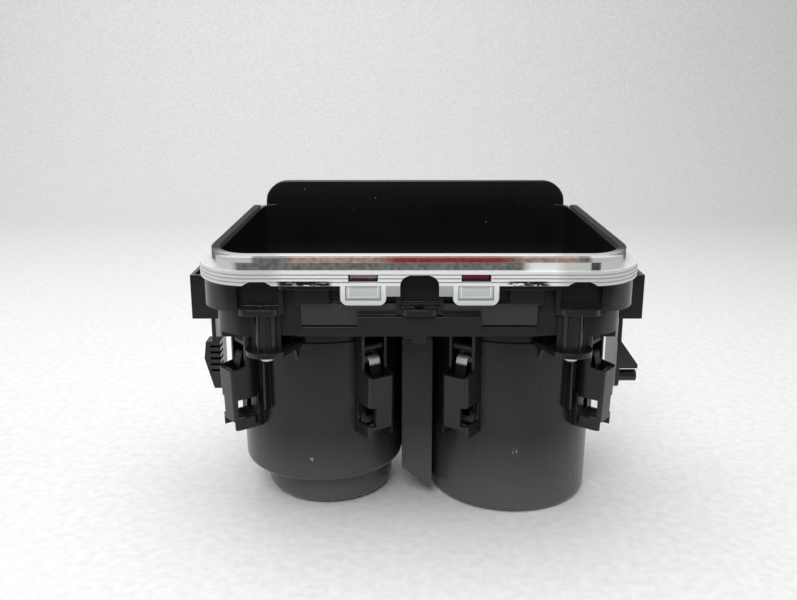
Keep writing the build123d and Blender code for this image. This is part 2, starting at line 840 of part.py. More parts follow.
with BuildPart() as guide_upper_tier:
    with BuildSketch(Plane.XY):
        add(well_plan.sketch)
        offset(amount=guide_upper)
    extrude(amount=sky)
    split(bisect_by=rim_plane(0), keep=Keep.BOTTOM)
    split(bisect_by=rim_plane(shelf_drop), keep=Keep.TOP)

# Along the sides the channel steps down: a thin lip beside the tray wall and a ledge out to the lower tier
guide_arm = tray_wall + guide_arm_reach
with BuildSketch(Plane.XY) as arm_zone:
    for side in (-1, 1):
        with Locations((side * (well_front_width / 2 - guide_arm_inset + wide / 2), wide / 2 - guide_arm_start)):
            Rectangle(wide, wide)
with BuildPart() as guide_arms:
    for reach, mode in ((guide_upper, Mode.ADD), (tray_wall + guide_gap, Mode.SUBTRACT)):
        with BuildSketch(Plane.XY):
            add(well_plan.sketch)
            offset(amount=reach)
        extrude(amount=sky, mode=mode)
    with BuildSketch(Plane.XY):
        add(arm_zone.sketch)
    extrude(amount=sky, mode=Mode.INTERSECT)
    split(bisect_by=rim_plane(guide_top / 2), keep=Keep.BOTTOM)
    split(bisect_by=rim_plane(guide_step + guide_wall), keep=Keep.TOP)

with BuildPart() as guide_arm_cut:
    for reach, mode in ((guide_lower + guide_wall, Mode.ADD), (guide_arm, Mode.SUBTRACT)):
        with BuildSketch(Plane.XY):
            add(well_plan.sketch)
            offset(amount=reach)
        extrude(amount=sky, mode=mode)
    with BuildSketch(Plane.XY):
        add(arm_zone.sketch)
    extrude(amount=sky, mode=Mode.INTERSECT)
    split(bisect_by=rim_plane(guide_step), keep=Keep.TOP)

guide_grooves = []
for drop in groove_drops:
    with BuildPart() as groove:
        for reach, mode in ((guide_lower + guide_wall, Mode.ADD), (guide_lower - groove_depth, Mode.SUBTRACT)):
            with BuildSketch(Plane.XY):
                add(well_plan.sketch)
                offset(amount=reach)
            extrude(amount=sky, mode=mode)
        split(bisect_by=rim_plane(drop), keep=Keep.BOTTOM)
        split(bisect_by=rim_plane(drop + groove_height), keep=Keep.TOP)
    guide_grooves.append(groove.part)

with BuildPart() as light_guide:
    with BuildSketch(Plane.XY):
        add(well_plan.sketch)
        offset(amount=guide_lower)
    extrude(amount=sky)
    split(bisect_by=rim_plane(guide_step), keep=Keep.BOTTOM)
    split(bisect_by=rim_plane(shelf_drop), keep=Keep.TOP)
    add(guide_upper_tier.part)
    add(guide_void.part, mode=Mode.SUBTRACT)
    add(guide_arms.part)
    add(guide_arm_cut.part, mode=Mode.SUBTRACT)
    with BuildSketch(Plane.XY):
        add(well_plan.sketch)
    extrude(amount=sky, mode=Mode.SUBTRACT)
    for groove in guide_grooves:
        add(groove, mode=Mode.SUBTRACT)
    with BuildSketch(Plane.XY):
        add(arm_trim.sketch)
    extrude(amount=sky, mode=Mode.SUBTRACT)

    # Legs beside the centre arch, arches over the screw tabs and windows for the red lenses
    rim_front = rim_height(front_face - guide_lower_reach)
    latch_face = front_face - guide_lower_reach
    latch_top = rim_front - shelf_drop + latch_recess
    with BuildSketch(Plane.XZ.offset(-latch_face)):
        with Locations((0, centre_leg_bottom)):
            Rectangle(centre_leg_width, latch_top - centre_leg_bottom, align=(Align.CENTER, Align.MIN))
    extrude(amount=-latch_thickness)
    with BuildSketch(Plane.XZ.offset(-front_face)):
        for x, width in tabs:
            drop = centre_arch_top_drop if x == 0 else arch_top_drop
            bend = centre_arch_round if x == 0 else arch_round
            with Locations((x, rim_front - drop)):
                RectangleRounded(width, 2 * width, bend, align=(Align.CENTER, Align.MAX))
        for x in (-window_spacing / 2, window_spacing / 2):
            with Locations((x, rim_front - (window_top_drop + window_bottom_drop) / 2)):
                Rectangle(window_width, window_bottom_drop - window_top_drop)
    extrude(amount=wide, mode=Mode.SUBTRACT)

    # Latch tabs: a plate with a raised border and a raised panel inside it
    for x in (-window_spacing / 2, window_spacing / 2):
        with BuildSketch(Plane.XZ.offset(-latch_face)) as latch_plan:
            with Locations((x, latch_bottom)):
                Rectangle(latch_width, latch_top - latch_bottom, align=(Align.CENTER, Align.MIN))
            fillet(latch_plan.vertices().group_by(Axis.Y)[0], latch_round)
        extrude(amount=-latch_thickness)
        with BuildSketch(Plane.XZ.offset(-latch_face)) as latch_pocket:
            with Locations((x, latch_bottom + latch_border)):
                Rectangle(
                    latch_width - 2 * latch_border,
                    rim_front - shelf_drop - latch_bottom - latch_border,
                    align=(Align.CENTER, Align.MIN),
                )
        extrude(amount=-latch_recess, mode=Mode.SUBTRACT)
        with BuildSketch(Plane.XZ.offset(-latch_face - latch_recess)):
            with Locations((x, latch_bottom + latch_border + latch_panel_gap)):
                Rectangle(
                    latch_width - 2 * latch_border - 2 * latch_panel_gap,
                    rim_front - shelf_drop - latch_bottom - latch_border - 2 * latch_panel_gap,
                    align=(Align.CENTER, Align.MIN),
                )
        extrude(amount=latch_panel_rise)

light_guide.part.label = "light_guide"
export_step(light_guide.part, "parts/light_guide.step")

# Red light bar: a strip under the guide's top with a lens block behind each window
bar_front = front_face - (guide_upper_reach - guide_wall) + bar_gap
bar_top = rim_height(-well_front) - guide_top - bar_gap - bar_depth * tan(radians(rim_slope)) * 2
lens_top = rim_front - window_top_drop
lens_bottom = rim_front - window_bottom_drop
lens_back = bar_front + bar_depth - board_thickness
with BuildPart() as light_bar:
    with BuildSketch(Plane.XY.offset(bar_top)):
        with Locations((0, bar_front)):
            Rectangle(bar_length, bar_depth, align=(Align.CENTER, Align.MIN))
    extrude(amount=-bar_height)
    with BuildSketch(Plane.XY.offset(bar_top)):
        with Locations((-window_spacing / 2, bar_front), (window_spacing / 2, bar_front)):
            Rectangle(lens_width, bar_depth - board_thickness, align=(Align.CENTER, Align.MIN))
    extrude(amount=lens_bottom - bar_top)

light_bar.part.label = "light_bar"
export_step(light_bar.part, "parts/light_bar.step")

# Light boards: a small board on the tray's front wall with one diode facing the lens
for side, x in (("left", -window_spacing / 2), ("right", window_spacing / 2)):
    with BuildPart() as light_board:
        board_height_centre = lens_bottom + board_height / 2
        board_plane = Plane.XZ.offset(-front_face)
        with BuildSketch(board_plane):
            with Locations((x, board_height_centre)):
                Rectangle(board_width, board_height)
        extrude(amount=board_thickness)
        with BuildSketch(board_plane):
            with Locations((x, board_height_centre)):
                Rectangle(diode_width, diode_height)
        extrude(amount=front_face - lens_back - bar_gap)
    light_board.part.label = f"{side}_light_board"
    export_step(light_board.part, f"parts/{side}_light_board.step")

# Screws driven up from below into the bosses
with BuildPart() as joint_screws:
    with BuildSketch(Plane.XY.offset(ear_bottom)):
        with Locations(*bosses):
            Circle(screw_head_diameter / 2)
    extrude(amount=-screw_head_height)
    fillet(joint_screws.edges().group_by(Axis.Z)[0], screw_head_height / 3)
    with BuildSketch(Plane.XY.offset(ear_bottom)):
        with Locations(*bosses):
            Circle(screw_shank_diameter / 2)
    extrude(amount=screw_length)

joint_screws.part.label = "joint_screws"
export_step(joint_screws.part, "parts/joint_screws.step")
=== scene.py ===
from math import cos, pi, radians, sin

import bpy
import numpy as np
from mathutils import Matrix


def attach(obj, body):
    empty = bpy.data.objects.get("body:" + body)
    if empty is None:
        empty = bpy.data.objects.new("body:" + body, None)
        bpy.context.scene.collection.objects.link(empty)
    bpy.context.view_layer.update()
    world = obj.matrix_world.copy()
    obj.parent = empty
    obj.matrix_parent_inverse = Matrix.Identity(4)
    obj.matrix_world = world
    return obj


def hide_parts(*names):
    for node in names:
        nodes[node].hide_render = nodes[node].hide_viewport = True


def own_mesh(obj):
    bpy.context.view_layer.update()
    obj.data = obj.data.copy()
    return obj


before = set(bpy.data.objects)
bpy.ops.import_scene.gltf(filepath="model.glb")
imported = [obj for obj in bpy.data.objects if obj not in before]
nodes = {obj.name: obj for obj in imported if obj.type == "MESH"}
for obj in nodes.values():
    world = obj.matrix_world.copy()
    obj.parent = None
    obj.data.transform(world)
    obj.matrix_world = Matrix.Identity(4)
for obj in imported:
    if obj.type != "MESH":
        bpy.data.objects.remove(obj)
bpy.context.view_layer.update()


# Cup housing
# Both cups, the flange, the spine and the finger housings are one black polypropylene moulding.
# It comes from a spark-eroded mould: satin, faintly scuffed, with specks of dust; low down it is painted
# paler as a reflection of the pale floor.
def moulded_black(name, tone, roughness, dust, grain, paler_low=(0.0, 0.0, 0.0), marks=()):
    """Satin black moulding: cloudy tone, fine grain and soft edges, faint scuffs and pale specks of dust,
    a paler tone low down that fades out between two heights, and pale rubbed marks round given points."""
    material = bpy.data.materials.new(name)
    material.use_nodes = True
    tree = material.node_tree
    link = tree.links.new
    shader = tree.nodes["Principled BSDF"]
    shader.inputs["Specular IOR Level"].default_value = 0.37
    place = tree.nodes.new("ShaderNodeTexCoord")

    clouds = tree.nodes.new("ShaderNodeTexNoise")
    clouds.inputs["Scale"].default_value = 38.0
    clouds.inputs["Detail"].default_value = 4.0
    link(place.outputs["Object"], clouds.inputs["Vector"])
    shade = tree.nodes.new("ShaderNodeValToRGB")
    shade.color_ramp.elements[0].position = 0.3
    shade.color_ramp.elements[0].color = (tone * 0.78, tone * 0.79, tone * 0.82, 1)
    shade.color_ramp.elements[1].position = 0.72
    shade.color_ramp.elements[1].color = (tone * 1.25, tone * 1.25, tone * 1.27, 1)
    link(clouds.outputs["Fac"], shade.inputs["Fac"])

    specks = tree.nodes.new("ShaderNodeTexVoronoi")
    specks.inputs["Scale"].default_value = 210.0
    specks.inputs["Randomness"].default_value = 1.0
    link(place.outputs["Object"], specks.inputs["Vector"])
    near = tree.nodes.new("ShaderNodeMath")
    near.operation = "LESS_THAN"
    near.inputs[1].default_value = 0.075
    link(specks.outputs["Distance"], near.inputs[0])
    some = tree.nodes.new("ShaderNodeSeparateColor")
    link(specks.outputs["Color"], some.inputs["Color"])
    few = tree.nodes.new("ShaderNodeMath")
    few.operation = "LESS_THAN"
    few.inputs[1].default_value = dust
    link(some.outputs["Red"], few.inputs[0])
    both = tree.nodes.new("ShaderNodeMath")
    both.operation = "MULTIPLY"
    link(near.outputs["Value"], both.inputs[0])
    link(few.outputs["Value"], both.inputs[1])
    colour = tree.nodes.new("ShaderNodeMix")
    colour.data_type = "RGBA"
    colour.inputs["B"].default_value = (0.2, 0.2, 0.19, 1)
    link(both.outputs["Value"], colour.inputs["Factor"])
    link(shade.outputs["Color"], colour.inputs["A"])
    finish = colour.outputs["Result"]
    # Paler low down, fading out between two heights; on the cup housing this is a painted reflection of the
    # pale floor
    paler_top, paler_bottom, paler_cover = paler_low
    if paler_cover:
        axes = tree.nodes.new("ShaderNodeSeparateXYZ")
        link(place.outputs["Object"], axes.inputs["Vector"])
        fade = tree.nodes.new("ShaderNodeMapRange")
        fade.inputs["From Min"].default_value = paler_top
        fade.inputs["From Max"].default_value = paler_bottom
        fade.inputs["To Max"].default_value = paler_cover
        link(axes.outputs["Z"], fade.inputs["Value"])
        paled_low = tree.nodes.new("ShaderNodeMix")
        paled_low.data_type = "RGBA"
        paled_low.inputs["B"].default_value = (0.09, 0.09, 0.088, 1)
        link(fade.outputs["Result"], paled_low.inputs["Factor"])
        link(finish, paled_low.inputs["A"])
        finish = paled_low.outputs["Result"]
    for point, size in marks:
        away = tree.nodes.new("ShaderNodeVectorMath")
        away.operation = "DISTANCE"
        away.inputs[1].default_value = point
        link(place.outputs["Object"], away.inputs[0])
        worn = tree.nodes.new("ShaderNodeMapRange")
        worn.inputs["From Min"].default_value = size
        worn.inputs["From Max"].default_value = size * 0.3
        link(away.outputs["Value"], worn.inputs["Value"])
        flecks = tree.nodes.new("ShaderNodeTexNoise")
        flecks.inputs["Scale"].default_value = 700.0
        flecks.inputs["Detail"].default_value = 3.0
        link(place.outputs["Object"], flecks.inputs["Vector"])
        broken = tree.nodes.new("ShaderNodeMapRange")
        broken.inputs["From Min"].default_value = 0.52
        broken.inputs["From Max"].default_value = 0.6
        link(flecks.outputs["Fac"], broken.inputs["Value"])
        rubbed = tree.nodes.new("ShaderNodeMath")
        rubbed.operation = "MULTIPLY"
        link(worn.outputs["Result"], rubbed.inputs[0])
        link(broken.outputs["Result"], rubbed.inputs[1])
        paled = tree.nodes.new("ShaderNodeMix")
        paled.data_type = "RGBA"
        paled.inputs["B"].default_value = (0.5, 0.5, 0.48, 1)
        link(rubbed.outputs["Value"], paled.inputs["Factor"])
        link(finish, paled.inputs["A"])
        finish = paled.outputs["Result"]
    link(finish, shader.inputs["Base Color"])

    stretch = tree.nodes.new("ShaderNodeMapping")
    stretch.inputs["Scale"].default_value = (1.0, 1.0, 0.5)
    stretch.inputs["Rotation"].default_value = (0.3, 0.5, 0.0)
    link(place.outputs["Object"], stretch.inputs["Vector"])
    scuffs = tree.nodes.new("ShaderNodeTexNoise")
    scuffs.inputs["Scale"].default_value = 160.0
    scuffs.inputs["Detail"].default_value = 4.0
    scuffs.inputs["Roughness"].default_value = 0.7
    link(stretch.outputs["Vector"], scuffs.inputs["Vector"])
    gloss = tree.nodes.new("ShaderNodeMapRange")
    gloss.inputs["From Min"].default_value = 0.3
    gloss.inputs["From Max"].default_value = 0.75
    gloss.inputs["To Min"].default_value = roughness - 0.02
    gloss.inputs["To Max"].default_value = roughness + 0.03
    link(scuffs.outputs["Fac"], gloss.inputs["Value"])
    link(gloss.outputs["Result"], shader.inputs["Roughness"])

    sparks = tree.nodes.new("ShaderNodeTexNoise")
    sparks.inputs["Scale"].default_value = 2600.0
    sparks.inputs["Detail"].default_value = 2.0
    link(place.outputs["Object"], sparks.inputs["Vector"])
    soft_edge = tree.nodes.new("ShaderNodeBevel")
    soft_edge.samples = 6
    soft_edge.inputs["Radius"].default_value = 0.0005
    bump = tree.nodes.new("ShaderNodeBump")
    bump.inputs["Strength"].default_value = grain
    bump.inputs["Distance"].default_value = 0.0001
    link(sparks.outputs["Fac"], bump.inputs["Height"])
    link(soft_edge.outputs["Normal"], bump.inputs["Normal"])
    link(bump.outputs["Normal"], shader.inputs["Normal"])
    return material


def dress(name, material):
    """Puts one finish on a carried-over solid."""
    slots = nodes[name].data.materials
    slots.clear()
    slots.append(material)


rubbed_places = (((0.0505, -0.0439, 0.0365), 0.0022), ((-0.0554, -0.0436, 0.0315), 0.0014))
# The paler tone low down on the cups is a painted reflection of the pale floor
housing_black = moulded_black(
    "housing_black", tone=0.009, roughness=0.26, dust=0.1, grain=0.2,
    paler_low=(0.045, 0.004, 0.9), marks=rubbed_places,
)
dress("cup_housing", housing_black)

# Fingers
# Six sprung fingers of harder black nylon, one moulding each, hung on pins in the housings.
# Their noses reach through slots in the walls and press a cup to the middle.
finger_black = moulded_black("finger_black", tone=0.006, roughness=0.26, dust=0.02, grain=0.12)
fingers = [name.removesuffix("_finger") for name in nodes if name.endswith("_finger")]
for name in fingers:
    dress(f"{name}_finger", finger_black)


# Hinge pins
# Drawn steel wire, cut to length and blackened.
# Each is pushed through the cheeks of a housing with the finger between them.
def drawn_steel(name, colour, roughness, stretch_z, dark_below):
    """Steel with fine marks, drawn out along Z by a small stretch, dark blued below a height and its own
    tint above it.
    """
    material = bpy.data.materials.new(name)
    material.use_nodes = True
    tree = material.node_tree
    link = tree.links.new
    shader = tree.nodes["Principled BSDF"]
    shader.inputs["Metallic"].default_value = 1.0
    place = tree.nodes.new("ShaderNodeTexCoord")
    lines = tree.nodes.new("ShaderNodeMapping")
    lines.inputs["Scale"].default_value = (1.0, 1.0, stretch_z)
    link(place.outputs["Object"], lines.inputs["Vector"])
    draw = tree.nodes.new("ShaderNodeTexNoise")
    draw.inputs["Scale"].default_value = 1900.0
    draw.inputs["Detail"].default_value = 5.0
    link(lines.outputs["Vector"], draw.inputs["Vector"])
    tint = tree.nodes.new("ShaderNodeValToRGB")
    tint.color_ramp.elements[0].position = 0.25
    tint.color_ramp.elements[0].color = (*[c * 0.72 for c in colour], 1)
    tint.color_ramp.elements[1].position = 0.7
    tint.color_ramp.elements[1].color = (*colour, 1)
    link(draw.outputs["Fac"], tint.inputs["Fac"])
    height = tree.nodes.new("ShaderNodeSeparateXYZ")
    link(place.outputs["Object"], height.inputs["Vector"])
    bright = tree.nodes.new("ShaderNodeMapRange")
    bright.inputs["From Min"].default_value = dark_below - 0.0006
    bright.inputs["From Max"].default_value = dark_below + 0.0006
    link(height.outputs["Z"], bright.inputs["Value"])
    finish = tree.nodes.new("ShaderNodeMix")
    finish.data_type = "RGBA"
    finish.inputs["A"].default_value = (0.02, 0.022, 0.028, 1)
    link(bright.outputs["Result"], finish.inputs["Factor"])
    link(tint.outputs["Color"], finish.inputs["B"])
    link(finish.outputs["Result"], shader.inputs["Base Color"])
    gloss = tree.nodes.new("ShaderNodeMapRange")
    gloss.inputs["To Min"].default_value = roughness - 0.08
    gloss.inputs["To Max"].default_value = roughness + 0.1
    link(draw.outputs["Fac"], gloss.inputs["Value"])
    link(gloss.outputs["Result"], shader.inputs["Roughness"])
    bump = tree.nodes.new("ShaderNodeBump")
    bump.inputs["Strength"].default_value = 0.15
    bump.inputs["Distance"].default_value = 0.00005
    link(draw.outputs["Fac"], bump.inputs["Height"])
    link(bump.outputs["Normal"], shader.inputs["Normal"])
    return material


pin_steel = drawn_steel("pin_steel", (0.05, 0.05, 0.055), roughness=0.35, stretch_z=1.0, dark_below=0.0)
for name in fingers:
    dress(f"{name}_pin", pin_steel)

# Leaf springs
# A strip of hardened spring steel bent to a hairpin, its open legs between finger and housing.
# The strip is blued by heat treatment; on the two inner ones the top of the bend is a painted highlight in
# pale steel, and their dark legs also stand in for shade.
spring_inner = 0.04775
spring_outer = 0.05734
spring_foot = 0.0645
spring_bend = 0.0022
spring_turn = 0.0858
spring_width = 0.0064
spring_gauge = 0.0005
spring_toe = 0.0016
spring_toe_start = 0.9
strip_square = 0.12
strip_edge = 0.35
cup_offset = 0.0522


def carried(section, path, along, across, upward):
    """A closed section carried along a path: each point is the path point plus its two section offsets,
    one along the strip's width and one along the path's normal; both ends are closed by a face."""
    tangent = np.gradient(path, axis=0)
    tangent /= np.linalg.norm(tangent, axis=1)[:, None]
    normal = np.stack([-tangent[:, 1], tangent[:, 0]], 1)
    flat = path[:, None, :] + section[None, :, 1:2] * normal[:, None, :]
    points = along + flat[..., :1] * across + flat[..., 1:] * np.array([0, 0, 1.0])
    points = points + section[None, :, :1] * upward
    rows, columns = points.shape[:2]
    index = np.arange(rows * columns).reshape(rows, columns)
    following = np.roll(index, -1, 1)
    faces = np.stack([index[:-1], following[:-1], following[1:], index[1:]], -1).reshape(-1, 4).tolist()
    return points.reshape(-1, 3), faces + [index[0][::-1].tolist(), index[-1].tolist()]


def solid_piece(name, points, faces, material, body):
    """A mesh object from points and faces, smooth, with one finish, riding on a body."""
    mesh = bpy.data.meshes.new(name)
    mesh.from_pydata(np.asarray(points).tolist(), [], faces)
    mesh.validate()
    mesh.shade_smooth()
    mesh.materials.append(material)
    piece = bpy.data.objects.new(name, mesh)
    bpy.context.scene.collection.objects.link(piece)
    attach(piece, body)
    return piece


# Pale steel above the bend's height is a painted highlight; the dark blue below it also stands in for shade
# in the pocket
spring_painted_highlight = drawn_steel(
    "spring_painted_highlight", (0.97, 0.95, 0.88), roughness=0.5, stretch_z=0.06, dark_below=0.0842,
)
spring_blued = drawn_steel(
    "spring_blued", (0.86, 0.84, 0.78), roughness=0.3, stretch_z=0.06, dark_below=0.1,
)

# The strip's section is a ring squared off by powers of its cosine and sine, which leave the edges round
round_turn = np.linspace(0, 2 * pi, 24, endpoint=False)
strip_section = np.stack([
    np.sign(np.cos(round_turn)) * np.abs(np.cos(round_turn)) ** strip_square * spring_width / 2,
    np.sign(np.sin(round_turn)) * np.abs(np.sin(round_turn)) ** strip_edge * spring_gauge / 2,
], 1)
leg_up = np.stack([np.full(20, spring_inner), np.linspace(spring_foot, spring_turn, 20)], 1)
over = np.linspace(pi, 0, 24)[1:-1]
bend_middle = spring_inner + spring_bend
loop = np.stack([bend_middle + spring_bend * np.cos(over), spring_turn + spring_bend * np.sin(over)], 1)
slant = np.linspace(0, 1, 24)
leg_down = np.stack([
    spring_inner + 2 * spring_bend + (spring_outer - spring_inner - 2 * spring_bend) * slant
    - spring_toe * np.clip(slant - spring_toe_start, 0, 1) / (1 - spring_toe_start),
    spring_turn + (spring_foot - spring_turn) * slant,
], 1)
hairpin = np.concatenate([leg_up, loop, leg_down])

# Each finger's place round the left cup, in degrees; the right cup mirrors it
stations = {"inner": -55.0, "outer": -142.0, "rear": 79.0}
for side, cup in (("left", -cup_offset), ("right", cup_offset)):
    for place, angle in stations.items():
        turn = radians(angle if side == "left" else 180 - angle)
        outward = np.array([cos(turn), sin(turn), 0])
        sideways = np.array([-sin(turn), cos(turn), 0])
        axis_foot = np.array([cup, 0, 0])
        points, faces = carried(strip_section, hairpin, axis_foot, outward, sideways)
        steel = spring_painted_highlight if place == "inner" else spring_blued
        spring = solid_piece(f"{side}_{place}_leaf", points, faces, steel, "holder")
        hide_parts(f"{side}_{place}_spring")
        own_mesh(spring)

# Upper tray
# The deep tray with its raised back wall, tabs, brackets and clips is the second black moulding.
# It stands on the housing's flange and is screwed to it from below.
tray_black = moulded_black(
    "tray_black", tone=0.006, roughness=0.21, dust=0.09, grain=0.15, paler_low=(0.128, 0.116, 0.14),
)
dress("upper_tray", tray_black)

# Joining screws
# Four pan-head thread-forming screws, zinc plated, driven up through the ears into the bosses.
screw_zinc = drawn_steel("screw_zinc", (0.7, 0.71, 0.72), roughness=0.28, stretch_z=1.0, dark_below=0.0)
screw_places = ((-0.074, -0.0595), (0.074, -0.0595), (-0.07, 0.0595), (0.07, 0.0595))
screw_seat = 0.0955
screw_radius = 0.004
screw_head = 0.0038
screw_dome = 0.0013
screw_shank = 0.0017
screw_length = 0.014
thread_pitch = 0.0014
thread_depth = 0.07
recess_depth = 0.0013
recess_half = 0.00055
recess_flank = 0.0002
recess_reach = 0.0021
recess_end = 0.0004


def pan_head_screw(spokes, rings):
    """A polar grid: the head's dome falls with the sixth power of the radius and a cross is sunk in it.
    The grid then turns up the rim, in over the seat and along a shank whose radius waves as a thread."""
    turn = np.linspace(0, 2 * pi, spokes, endpoint=False)[None, :]
    ring = np.linspace(0.02, 1, rings)[:, None]
    x = ring * screw_radius * np.cos(turn)
    y = ring * screw_radius * np.sin(turn)
    near = np.minimum(np.abs(x), np.abs(y))
    far = np.maximum(np.abs(x), np.abs(y))
    cross = np.clip((recess_half - near) / recess_flank, 0, 1)
    cross = cross * np.clip((recess_reach - far) / recess_end, 0, 1)
    dome = -screw_head + screw_dome * ring ** 6 + recess_depth * cross
    top = np.stack([x, y, dome + 0 * turn], -1)
    climb = np.linspace(0, 1, 60)[:, None]
    winding = 2 * pi * climb * screw_length / thread_pitch + turn
    thread = screw_shank * (1 - thread_depth + thread_depth * np.sin(winding))
    body = np.concatenate([np.full((1, spokes), screw_radius), np.full((1, spokes), screw_shank), thread])
    level = np.concatenate([np.zeros((1, spokes)), np.zeros((1, spokes)), climb * screw_length + 0 * turn])
    side = np.stack([body * np.cos(turn), body * np.sin(turn), level], -1)
    grid = np.concatenate([top, side])
    rows = len(grid)
    index = np.arange(rows * spokes).reshape(rows, spokes)
    following = np.roll(index, -1, 1)
    faces = np.stack([index[1:], following[1:], following[:-1], index[:-1]], -1).reshape(-1, 4).tolist()
    return grid.reshape(-1, 3), faces + [index[0].tolist(), index[-1][::-1].tolist()]


screw_points, screw_faces = pan_head_screw(96, 60)
screw_count = len(screw_points)
all_points = np.concatenate([screw_points + np.array([x, y, screw_seat]) for x, y in screw_places])
all_faces = [[v + k * screw_count for v in face] for k in range(len(screw_places)) for face in screw_faces]
screws = solid_piece("pan_head_screws", all_points, all_faces, screw_zinc, "holder")
screws.data.set_sharp_from_angle(angle=radians(35))
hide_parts("joint_screws")

# Light boards
# Two small boards behind the windows, green solder mask with one diode each.
board_green = bpy.data.materials.new("board_green")
board_green.use_nodes = True
board_shader = board_green.node_tree.nodes["Principled BSDF"]
board_place = board_green.node_tree.nodes.new("ShaderNodeTexCoord")
board_tracks = board_green.node_tree.nodes.new("ShaderNodeTexBrick")
board_tracks.inputs["Scale"].default_value = 700.0
board_tracks.inputs["Color1"].default_value = (0.01, 0.07, 0.03, 1)
board_tracks.inputs["Color2"].default_value = (0.015, 0.09, 0.04, 1)
board_tracks.inputs["Mortar"].default_value = (0.02, 0.13, 0.06, 1)
board_green.node_tree.links.new(board_place.outputs["Object"], board_tracks.inputs["Vector"])
board_green.node_tree.links.new(board_tracks.outputs["Color"], board_shader.inputs["Base Color"])
board_shader.inputs["Roughness"].default_value = 0.3
for side in ("left", "right"):
    dress(f"{side}_light_board", board_green)

# Red light bar
# A strip of red translucent acrylic under the guide's top, with a lens block behind each window.
# The left half has faded to pink; the foot of the lenses is painted dark as shade.
bar_red = bpy.data.materials.new("bar_red")
bar_red.use_nodes = True
bar_tree = bar_red.node_tree
bar_shader = bar_tree.nodes["Principled BSDF"]
bar_place = bar_tree.nodes.new("ShaderNodeTexCoord")
bar_axes = bar_tree.nodes.new("ShaderNodeSeparateXYZ")
bar_tree.links.new(bar_place.outputs["Object"], bar_axes.inputs["Vector"])
# Below a height, with a cloudy edge, the bar is painted dark as shade
bar_shade_height = bar_tree.nodes.new("ShaderNodeMapRange")
bar_shade_height.inputs["From Min"].default_value = 0.1324
bar_shade_height.inputs["From Max"].default_value = 0.1348
bar_tree.links.new(bar_axes.outputs["Z"], bar_shade_height.inputs["Value"])
bar_cloud = bar_tree.nodes.new("ShaderNodeTexNoise")
bar_cloud.inputs["Scale"].default_value = 240.0
bar_tree.links.new(bar_place.outputs["Object"], bar_cloud.inputs["Vector"])
bar_wave = bar_tree.nodes.new("ShaderNodeMath")
bar_wave.operation = "MULTIPLY_ADD"
bar_wave.inputs[1].default_value = 0.25
bar_tree.links.new(bar_cloud.outputs["Fac"], bar_wave.inputs[0])
bar_tree.links.new(bar_shade_height.outputs["Result"], bar_wave.inputs[2])
bar_painted_shade = bar_tree.nodes.new("ShaderNodeValToRGB")
bar_painted_shade.color_ramp.elements[0].position = 0.5
bar_painted_shade.color_ramp.elements[0].color = (0.03, 0.006, 0.01, 1)
bar_painted_shade.color_ramp.elements[1].position = 0.65
bar_painted_shade.color_ramp.elements[1].color = (1, 1, 1, 1)
bar_tree.links.new(bar_wave.outputs["Value"], bar_painted_shade.inputs["Fac"])
bar_fading = bar_tree.nodes.new("ShaderNodeMapRange")
bar_fading.inputs["From Min"].default_value = -0.02
bar_fading.inputs["From Max"].default_value = 0.02
bar_tree.links.new(bar_axes.outputs["X"], bar_fading.inputs["Value"])
bar_faded = bar_tree.nodes.new("ShaderNodeMix")
bar_faded.data_type = "RGBA"
bar_faded.inputs["A"].default_value = (0.86, 0.6, 0.6, 1)
bar_faded.inputs["B"].default_value = (0.6, 0.02, 0.09, 1)
bar_tree.links.new(bar_fading.outputs["Result"], bar_faded.inputs["Factor"])
bar_colour = bar_tree.nodes.new("ShaderNodeMix")
bar_colour.data_type = "RGBA"
bar_colour.blend_type = "MULTIPLY"
bar_colour.inputs["Factor"].default_value = 1.0
bar_tree.links.new(bar_faded.outputs["Result"], bar_colour.inputs["A"])
bar_tree.links.new(bar_painted_shade.outputs["Color"], bar_colour.inputs["B"])
bar_tree.links.new(bar_colour.outputs["Result"], bar_shader.inputs["Base Color"])
bar_shader.inputs["Roughness"].default_value = 0.22
bar_shader.inputs["Transmission Weight"].default_value = 0.2
dress("light_bar", bar_red)

# Light guide
# Clear acrylic, moulded in one piece and latched over the shelf round the front rim.
# A frosted strip lies behind its upper front wall, and the top edge carries the red of the bar below.
rim_level = 0.148586
rim_rise = 0.07695
zone_depth = 25
wall_front = -0.0585
edge_front = -0.0603
clear_acrylic = bpy.data.materials.new("clear_acrylic")
clear_acrylic.use_nodes = True
guide_tree = clear_acrylic.node_tree
guide_link = guide_tree.links.new
guide_shader = guide_tree.nodes["Principled BSDF"]
guide_shader.inputs["IOR"].default_value = 1.49
guide_place = guide_tree.nodes.new("ShaderNodeTexCoord")
guide_axes = guide_tree.nodes.new("ShaderNodeSeparateXYZ")
guide_link(guide_place.outputs["Object"], guide_axes.inputs["Vector"])
guide_rim = guide_tree.nodes.new("ShaderNodeMath")
guide_rim.operation = "MULTIPLY_ADD"
guide_rim.inputs[1].default_value = rim_rise
guide_rim.inputs[2].default_value = rim_level
guide_link(guide_axes.outputs["Y"], guide_rim.inputs[0])
guide_drop = guide_tree.nodes.new("ShaderNodeMath")
guide_drop.operation = "SUBTRACT"
guide_link(guide_rim.outputs["Value"], guide_drop.inputs[0])
guide_link(guide_axes.outputs["Z"], guide_drop.inputs[1])
guide_zone = guide_tree.nodes.new("ShaderNodeMapRange")
guide_zone.inputs["From Max"].default_value = zone_depth / 1000
guide_link(guide_drop.outputs["Value"], guide_zone.inputs["Value"])


